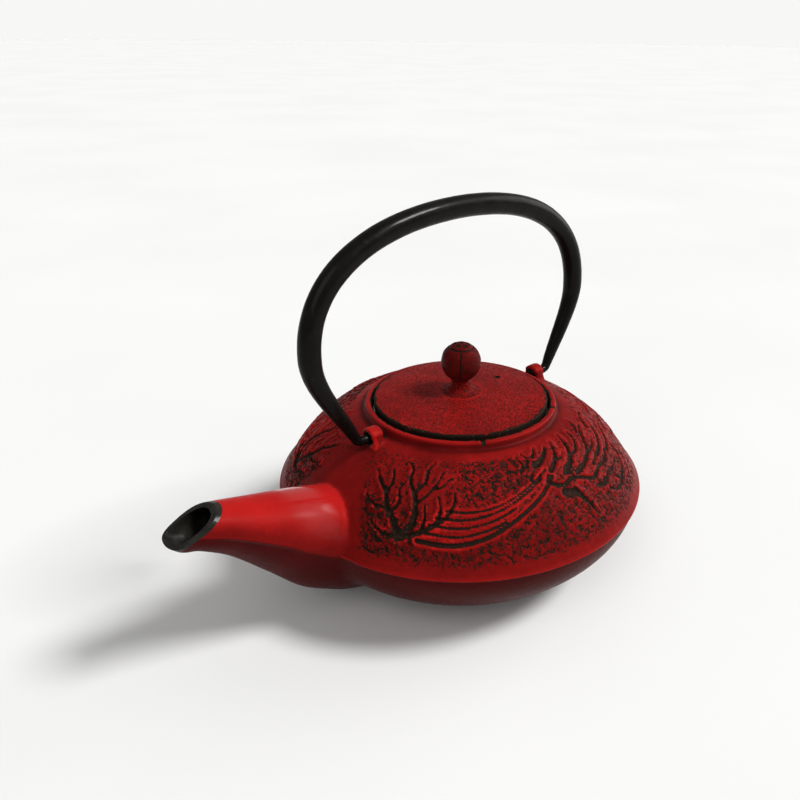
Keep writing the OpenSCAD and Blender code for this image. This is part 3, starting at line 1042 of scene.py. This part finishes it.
def mesh_floor():
    """The basket's perforated floor: three rings of holes round a plain middle."""
    low, thick, pitch = BASKET_Z + BAND_T + 0.02, MESH_T - 0.04, 2.1
    m = Mesh()
    middle = start = FLOOR_R - 14 * pitch  # 14 rows of cells in from the edge
    for columns, rows, plain in ((28, 4, 0), (56, 4, 0), (84, 6, 1)):
        def place(u, v, side, columns=columns, start=start):
            r, a = start + pitch * (v + 0.5), 2 * math.pi * u / columns
            return spot(r, a, low + thick * side)

        perforated(m, columns, rows, plain, place, HOLE_R / pitch)
        start += rows * pitch
    rings = m.revolve([(middle, low), (middle, low + thick)], 28)
    m.cap(rings[0], (0, 0, low))
    m.cap(rings[1], (0, 0, low + thick))
    return m.object("infuser_floor")


# ---- materials


class Nodes:
    """A material whose nodes are made by short calls. Sizes are in millimetres."""

    def __init__(self, name):
        self.material = bpy.data.materials.new(name)
        self.material.use_nodes = True
        self.tree = self.material.node_tree
        self.shader = self.tree.nodes["Principled BSDF"]
        self.place = self.new("ShaderNodeTexCoord").outputs["Object"]

    def new(self, kind, **settings):
        node = self.tree.nodes.new(kind)
        for key, value in settings.items():
            setattr(node, key, value)
        return node

    def put(self, socket, value):
        if isinstance(value, bpy.types.NodeSocket):
            self.tree.links.new(value, socket)
        elif isinstance(value, tuple) and len(value) == 3 and len(socket.default_value) == 4:
            socket.default_value = (*value, 1)
        else:
            socket.default_value = value

    def feed(self, node, **sockets):
        for name, value in sockets.items():
            self.put(node.inputs[name.replace("_", " ")], value)

    def number(self, name):
        """The number that the mesh carries under a name."""
        return self.new("ShaderNodeAttribute", attribute_name=name).outputs["Fac"]

    def noise(self, size, detail=3.0, rough=0.55, stretch=None):
        """Noise about 0 to 1 with features about size wide."""
        node = self.new("ShaderNodeTexNoise")
        place = self.place
        if stretch:
            mapping = self.new("ShaderNodeMapping")
            self.feed(mapping, Scale=stretch, Vector=place)
            place = mapping.outputs["Vector"]
        self.feed(node, Vector=place, Scale=1000 / size, Detail=detail, Roughness=rough)
        return node.outputs["Fac"]

    def calc(self, how, one, two, three=None):
        node = self.new("ShaderNodeMath", operation=how)
        for k, value in enumerate((one, two, three)):
            if value is not None:
                self.put(node.inputs[k], value)
        return node.outputs["Value"]

    def plus(self, one, two):
        return self.calc("ADD", one, two)

    def times(self, one, two):
        return self.calc("MULTIPLY", one, two)

    def ramp(self, value, low, high, out_low=0.0, out_high=1.0):
        """A soft step: out_low below low, out_high above high."""
        node = self.new("ShaderNodeMapRange", interpolation_type="SMOOTHSTEP", clamp=True)
        self.feed(node, Value=value, From_Min=low, From_Max=high, To_Min=out_low, To_Max=out_high)
        return node.outputs["Result"]

    def mix(self, share, one, two):
        """A colour between two colours."""
        return self.blend(share, one, two, "RGBA", (0, 6, 7), 2)

    def blend(self, share, one, two, kind="FLOAT", slots=(0, 2, 3), out=0):
        """A number between two numbers."""
        node = self.new("ShaderNodeMix", data_type=kind)
        for k, value in zip(slots, (share, one, two)):
            self.put(node.inputs[k], value)
        return node.outputs[out]

    def bump(self, height, deep, under=None):
        node = self.new("ShaderNodeBump")
        self.feed(node, Distance=deep * MM, Height=height)
        if under is not None:
            self.feed(node, Normal=under)
        return node.outputs["Normal"]

    def finish(self, **sockets):
        self.feed(self.shader, **sockets)
        return self.material


RED, DEEP_RED = (0.38, 0.0095, 0.0085), (0.05, 0.0032, 0.0029)
# The black iron showing through the paint; through the dark number it also paints the shade in the lugs'
# holes.
DARK_IRON_AND_SHADE, OLIVE = (0.014, 0.0088, 0.0062), (0.05, 0.037, 0.022)
ENAMEL = (0.0095, 0.0088, 0.0072)


def red_paint(name, grain=1.0):
    """Red paint over black iron. The black shows in the strokes, in the pits and as fine speckle.

    The mesh carries four numbers for it: dark, pitted, gloss, and one for the red's lightness, which holds
    painted light and shade as well as the red's own tone; dark also holds painted shade round the lugs'
    holes. One that it lacks is 0.
    grain is the speckle's size as a share of the usual one.
    """
    n = Nodes(name)
    dark, pitted, clean = (n.number(k) for k in ("dark", "pitted", "clean"))
    fine = n.noise(0.75 * grain, 2.5, 0.6)
    patchy = n.ramp(n.noise(3.2, 4, 0.65), 0.3, 0.7, -0.05, 0.05)
    patchy = n.plus(patchy, n.ramp(fine, 0.3, 0.7, -0.07, 0.07))
    patchy = n.times(patchy, n.calc("MULTIPLY_ADD", pitted, 0.6, 0.4))
    # The red's lightness: the mesh's number with its painted light and shade and own tone, and random
    # patches on top.
    tone = n.plus(clean, n.ramp(n.noise(22, 3), 0.3, 0.7, -0.07, 0.07))
    tone = n.plus(tone, patchy)
    red = n.mix(n.ramp(tone, 0, 1), DEEP_RED, RED)
    medium = n.noise(1.6 * grain, 3, 0.6)
    lot = n.plus(n.times(medium, 0.6), n.times(fine, 0.4))
    low = n.calc("MULTIPLY_ADD", pitted, -0.1, 0.593)
    pits = n.ramp(lot, low, n.plus(low, 0.022))
    pits = n.times(pits, n.ramp(pitted, 0.0, 0.25))
    ragged = n.calc("MULTIPLY_ADD", n.plus(fine, medium), 0.55, -0.55)
    # Where the dark number shows black iron, and the painted shade round the lugs' holes.
    dark_share = n.ramp(n.plus(dark, ragged), 0.36, 0.5)
    shade = n.calc("MAXIMUM", n.times(pits, 0.86), dark_share)
    olive = n.times(n.ramp(n.noise(1.1, 3, 0.7), 0.52, 0.7), n.ramp(dark, 0.75, 0.95))
    iron = n.mix(olive, DARK_IRON_AND_SHADE, OLIVE)
    colour = n.mix(shade, red, iron)
    rough = n.blend(shade, n.ramp(medium, 0.3, 0.7, 0.34, 0.46), n.ramp(fine, 0.35, 0.65, 0.35, 0.7))
    depth = n.calc("SUBTRACT", n.times(fine, 0.35), n.times(pits, 0.9))
    depth = n.times(depth, n.calc("MULTIPLY_ADD", pitted, 0.85, 0.15))
    normal = n.bump(depth, 0.3, n.bump(n.noise(6, 2), 0.2))
    shine = dict(Specular_IOR_Level=0.045, Specular_Tint=(1.0, 0.3, 0.28))
    coat = dict(Coat_Weight=n.number("gloss"), Coat_Roughness=0.12, Coat_IOR=1.5)
    return n.finish(Base_Color=colour, Roughness=rough, Normal=normal, **shine, **coat)


def black_enamel():
    """The glossy black coat on the lip and inside, a little uneven."""
    n = Nodes("black_enamel")
    colour = n.mix(n.ramp(n.noise(5, 3), 0.35, 0.7), ENAMEL, (0.02, 0.0185, 0.0145))
    rough = n.ramp(n.noise(3, 3), 0.3, 0.7, 0.22, 0.32)
    normal = n.bump(n.noise(1.2, 3), 0.05, n.bump(n.noise(5, 2), 0.3))
    return n.finish(Base_Color=colour, Roughness=rough, Normal=normal, Specular_IOR_Level=0.13)


def second_coat(ob):
    """Give the second material, the enamel, to the faces where the mesh says so."""
    value = np.empty(len(ob.data.vertices), np.float32)
    ob.data.attributes["enamel"].data.foreach_get("value", value)
    for face in ob.data.polygons:
        face.material_index = int(value[list(face.vertices)].mean() > 0.5)


def black_paint():
    """Satin black paint on a cast rod, with a faint grain and worn brown spots."""
    n = Nodes("black_paint")
    wear = n.ramp(n.noise(3.5, 5, 0.7), 0.6, 0.75)
    colour = n.mix(n.ramp(n.noise(14), 0.3, 0.7), (0.0026, 0.0022, 0.002), (0.0044, 0.004, 0.0034))
    colour = n.mix(wear, colour, (0.014, 0.011, 0.008))
    rough = n.ramp(n.noise(2.2, 4, 0.65), 0.3, 0.7, 0.3, 0.46)
    rough = n.plus(rough, n.times(wear, 0.12))
    normal = n.bump(n.noise(0.9, 3, 0.6), 0.05, n.bump(n.noise(7, 2), 0.35))
    shine = dict(Specular_IOR_Level=0.05, Specular_Tint=(1.0, 0.95, 0.8))
    coat = dict(Coat_Weight=0.16, Coat_Roughness=0.1, Coat_IOR=1.35)
    return n.finish(Base_Color=colour, Roughness=rough, Normal=normal, **shine, **coat)


def steel(name, bright, rough_low, rough_high, stretch):
    """Stainless sheet with fine drawn lines and a few smudges."""
    n = Nodes(name)
    lines = n.noise(0.5, 3, 0.6, stretch)
    smudge = n.ramp(n.noise(11, 4, 0.6), 0.45, 0.7)
    base = (bright, bright * 0.98, bright * 0.94)
    dull = tuple(c * 0.8 for c in base)
    colour = n.mix(smudge, n.mix(lines, dull, base), dull)
    rough = n.plus(n.ramp(lines, 0.3, 0.7, rough_low, rough_high), n.times(smudge, 0.1))
    return n.finish(Base_Color=colour, Roughness=rough, Normal=n.bump(lines, 0.02), Metallic=1.0)


def studio_paper():
    n = Nodes("studio_paper")
    colour = n.mix(n.ramp(n.noise(300, 2), 0.3, 0.7), (0.705, 0.705, 0.695), (0.73, 0.73, 0.72))
    return n.finish(Base_Color=colour, Roughness=0.9, Specular_IOR_Level=0.1)


def dress(ob, *mats):
    ob.data.materials.clear()
    for mat in mats:
        ob.data.materials.append(mat)


body_red, lid_red, glaze = red_paint("red_paint"), red_paint("red_paint_fine", 0.45), black_enamel()
sheet = steel("steel_sheet", 0.55, 0.22, 0.34, (1, 1, 14))
mesh_steel = steel("steel_mesh", 0.5, 0.26, 0.4, (1, 1, 8))
rivet = steel("steel_rivet", 0.38, 0.3, 0.5, (3, 3, 1))


def fit(ob, node, slot, body, *mats):
    """Put a piece in a CAD node's place."""
    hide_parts(node)
    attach(ob, body)
    dress(ob, *mats)
    if len(mats) == 2:
        second_coat(ob)


fit(pot(), "pot_body", "red_iron", "pot", body_red, glaze)
fit(lid(), "lid", "red_iron", "lid", lid_red, glaze)
fit(knob(), "lid_knob", "red_iron", "lid", lid_red)
fit(bail(), "bail_handle", "black_iron", "handle", black_paint())
fit(strainer_rim(), "strainer_rim", "steel_sheet", "infuser", sheet)
fit(strainer_band(), "strainer_band", "steel_sheet", "infuser", sheet)
fit(mesh_wall(), "strainer_wall", "steel_mesh", "infuser", mesh_steel)
fit(mesh_floor(), "strainer_floor", "steel_mesh", "infuser", mesh_steel)
for kept in ("knob_rivet", "knob_washer"):
    dress(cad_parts[kept], rivet)

# ---- camera, floor and light

VIEW_AZIMUTH, VIEW_ELEVATION, VIEW_ROLL = (math.radians(a) for a in (-42.8, 29.15, 0.62))
VIEW_DISTANCE = 344.7
TARGET = Vector((0, 0, 52.8))
SENSOR, FOCAL = 36, 33.561
SHIFT = (-0.0752, 0.0506)
BACKDROP_R = 12000.0


def camera():
    flat = math.cos(VIEW_ELEVATION)
    out = Vector((math.sin(VIEW_AZIMUTH) * flat, -math.cos(VIEW_AZIMUTH) * flat, math.sin(VIEW_ELEVATION)))
    data = bpy.data.cameras.new("camera")
    data.lens, data.sensor_width = FOCAL, SENSOR
    data.shift_x, data.shift_y = SHIFT
    data.clip_start = 0.01
    ob = new_object("camera", data)
    right = Vector((math.cos(VIEW_AZIMUTH), math.sin(VIEW_AZIMUTH), 0))
    up = out.cross(right)
    roll_right = math.cos(VIEW_ROLL) * right + math.sin(VIEW_ROLL) * up
    roll_up = out.cross(roll_right)
    turn = Matrix((roll_right, roll_up, out)).transposed().to_4x4()
    ob.matrix_world = Matrix.Translation((TARGET + out * VIEW_DISTANCE) * MM) @ turn
    bpy.context.scene.camera = ob


def floor():
    """A flat pale paper floor, large enough to reach the backdrop."""
    m = Mesh()
    rings = m.revolve([(20, 0), (500, 0), (3000, 0), (BACKDROP_R, 0)], 96)
    m.cap(rings[0], (0, 0, 0))
    ob = m.object("floor")
    dress(ob, studio_paper())
    ob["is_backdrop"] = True


def backdrop():
    """An even pale wall all round, far off. Only the camera sees it, so it changes no light."""
    m = Mesh()
    m.revolve([(BACKDROP_R - 10, -50), (BACKDROP_R - 10, 9000)], 96)
    ob = m.object("backdrop")
    n = Nodes("backdrop_glow")
    glow = dict(Emission_Color=(0.935, 0.935, 0.92), Emission_Strength=1.0)
    dress(ob, n.finish(Base_Color=(0.0, 0.0, 0.0), Specular_IOR_Level=0.0, **glow))
    ob.visible_diffuse = ob.visible_glossy = ob.visible_shadow = False
    ob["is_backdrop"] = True


def sun(name, towards, power, spread):
    """A broad far light. towards is the direction to it."""
    data = bpy.data.lights.new(name, "SUN")
    data.energy, data.angle = power, math.radians(spread)
    ob = new_object(name, data)
    ob.rotation_euler = Vector(towards).to_track_quat("Z", "Y").to_euler()
    ob.location = Vector(towards)


def light():
    world = bpy.data.worlds.new("studio")
    world.use_nodes = True
    background = world.node_tree.nodes["Background"].inputs
    background["Color"].default_value = (1, 1, 1, 1)
    background["Strength"].default_value = 0.35
    bpy.context.scene.world = world
    sun("key", (0.47, -0.48, 0.74), 3.1, 16)
    sun("fill", (-0.75, -0.35, 0.9), 0.65, 40)
    sun("side", (0.95, -0.2, 0.35), 1.0, 40)


camera()
floor()
backdrop()
light()
bpy.context.scene.view_settings.view_transform = "Standard"

both = {"cad": cad_bounds, "visual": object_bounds()}
{k: [[float(c) for c in corner] for corner in v] for k, v in both.items()}
